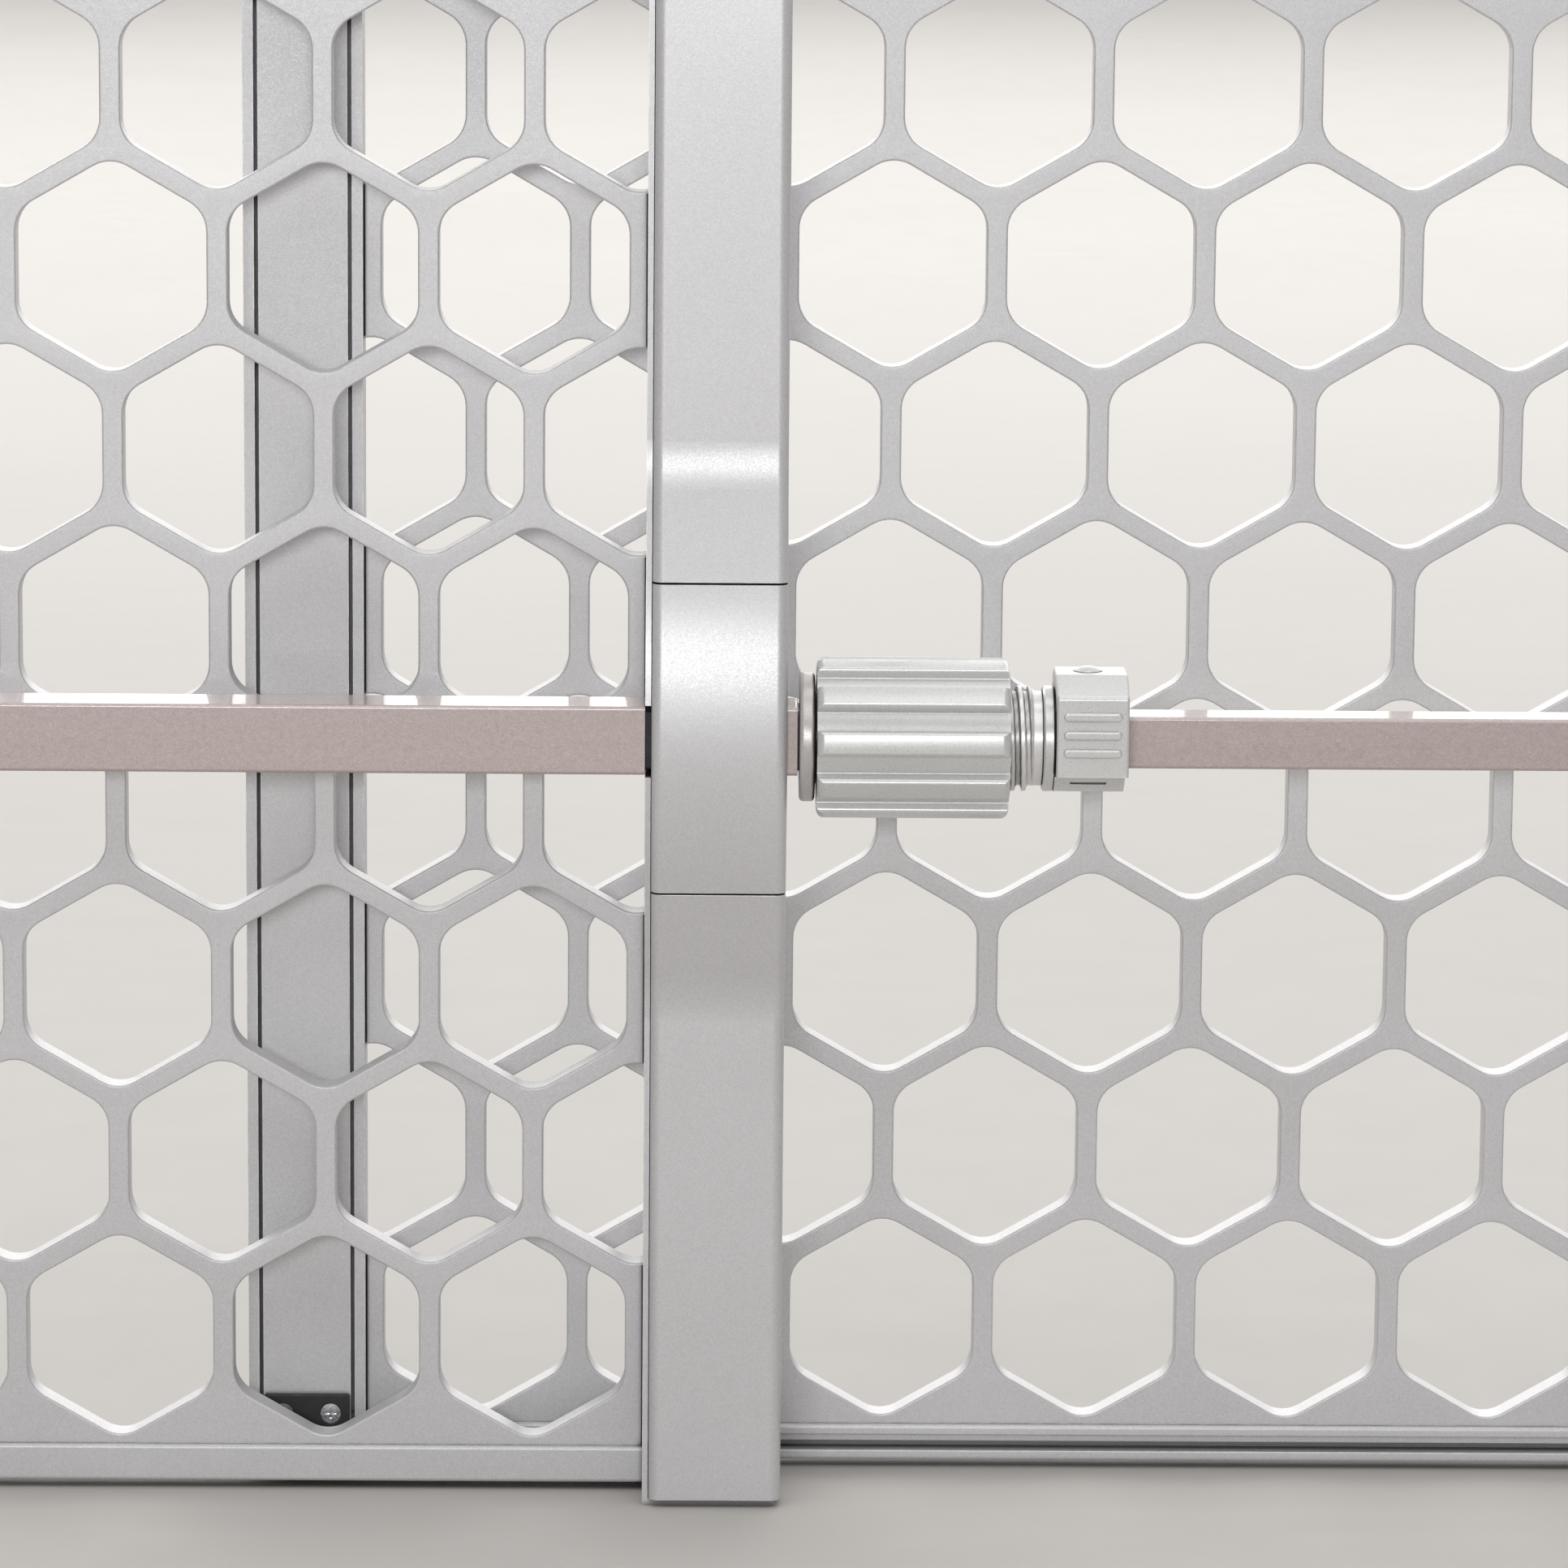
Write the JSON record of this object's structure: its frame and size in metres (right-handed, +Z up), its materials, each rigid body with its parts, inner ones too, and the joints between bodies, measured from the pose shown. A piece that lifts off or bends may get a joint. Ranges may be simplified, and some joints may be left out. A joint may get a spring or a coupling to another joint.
{
  "type": "safety baby gate",
  "caption": "Expandable pressure-fit safety gate: sliding honeycomb panels, a telescoping cross bar, a twist tension knob and a flip-open lock.",
  "frame": {"origin": "under the middle of the gate, on the floor, at its widest setting", "axes": "+X across the doorway to the gate's right seen from the front, +Y from front to back, +Z up"},
  "size_m": [1.0666, 0.11, 0.584],
  "materials": {
    "moulded_grey": "satin, fine moulded grain",
    "moulded_grey_warm": "satin, fine moulded grain",
    "champagne_metal": "satin, fine metallic flake coat",
    "black_plastic": "matt",
    "steel": "zinc plated",
    "pad_rubber": "matt"
  },
  "bodies": {
    "front_panel": {"front_lattice": "moulded_grey", "centre_post": "moulded_grey", "left_end_post": "moulded_grey", "centre_cover_upper": "moulded_grey", "centre_cover_bridge": "moulded_grey", "centre_cover_lower": "moulded_grey", "left_cover_upper": "moulded_grey", "left_cover_bridge": "moulded_grey", "left_cover_lower": "moulded_grey", "outer_tube": "champagne_metal", "outer_tube_stub": "champagne_metal", "tube_joiner": "black_plastic", "bar_saddle": "black_plastic", "saddle_screws": "steel", "left_bar_socket": "black_plastic", "left_socket_screws": "steel", "collar_flange": "moulded_grey_warm", "retaining_ring": "steel", "centre_post_glides": "black_plastic", "centre_post_glides_screws": "steel", "left_wall_pads": "pad_rubber"},
    "knob": {"knob": "moulded_grey", "thread_insert": "moulded_grey_warm"},
    "sleeve": {"threaded_sleeve": "moulded_grey_warm", "lock_housing": "moulded_grey_warm", "hinge_pin": "steel"},
    "lever": {"lock_lever": "moulded_grey", "button_cup": "black_plastic", "button_spring": "steel"},
    "button": {"release_button": "moulded_grey"},
    "brake": {"brake_pad": "black_plastic"},
    "rear_panel": {"rear_lattice": "moulded_grey", "rear_inner_post": "moulded_grey", "rear_post_insert": "moulded_grey", "right_end_post": "moulded_grey", "right_cover_upper": "moulded_grey", "right_cover_bridge": "moulded_grey", "right_cover_lower": "moulded_grey", "inner_tube": "champagne_metal", "tube_glide": "black_plastic", "right_bar_socket": "black_plastic", "right_socket_screws": "steel", "rear_post_glides": "black_plastic", "rear_post_glides_screws": "steel", "right_wall_pads": "pad_rubber"}
  },
  "joints": [
    {"name": "knob_turn", "type": "hinge", "parent": "front_panel", "child": "knob", "pos_m": [0.1499, -0.0255, 0.292], "axis": [1, 0, 0], "range_deg": [-2161, 721]},
    {"name": "sleeve_slide", "type": "slide", "parent": "front_panel", "child": "sleeve", "axis": [1, 0, 0], "range_m": [-0.008, 0.024]},
    {"name": "panel_slide", "type": "slide", "parent": "sleeve", "child": "rear_panel", "axis": [1, 0, 0], "range_m": [-0.26, 0]},
    {"name": "lever_open", "type": "hinge", "parent": "sleeve", "child": "lever", "pos_m": [0.2014, -0.013, 0.3096], "axis": [-1, 0, 0], "range_deg": [0, 60.1]},
    {"name": "pad_lift", "type": "slide", "parent": "sleeve", "child": "brake", "axis": [0, 0, 1], "range_m": [0, 0.001]},
    {"name": "button_press", "type": "slide", "parent": "lever", "child": "button", "axis": [0, 0, -1], "range_m": [0, 0.0015], "stiffness_N_per_m": 300, "springref_m": -0.002, "deforming": ["button_spring"]}
  ],
  "couplings": [
    {"joint": "knob_turn", "follows": "sleeve_slide", "rad_per_m": -1570.8},
    {"joint": "lever_open", "follows": "pad_lift", "rad_per_m": 1047.2}
  ]
}
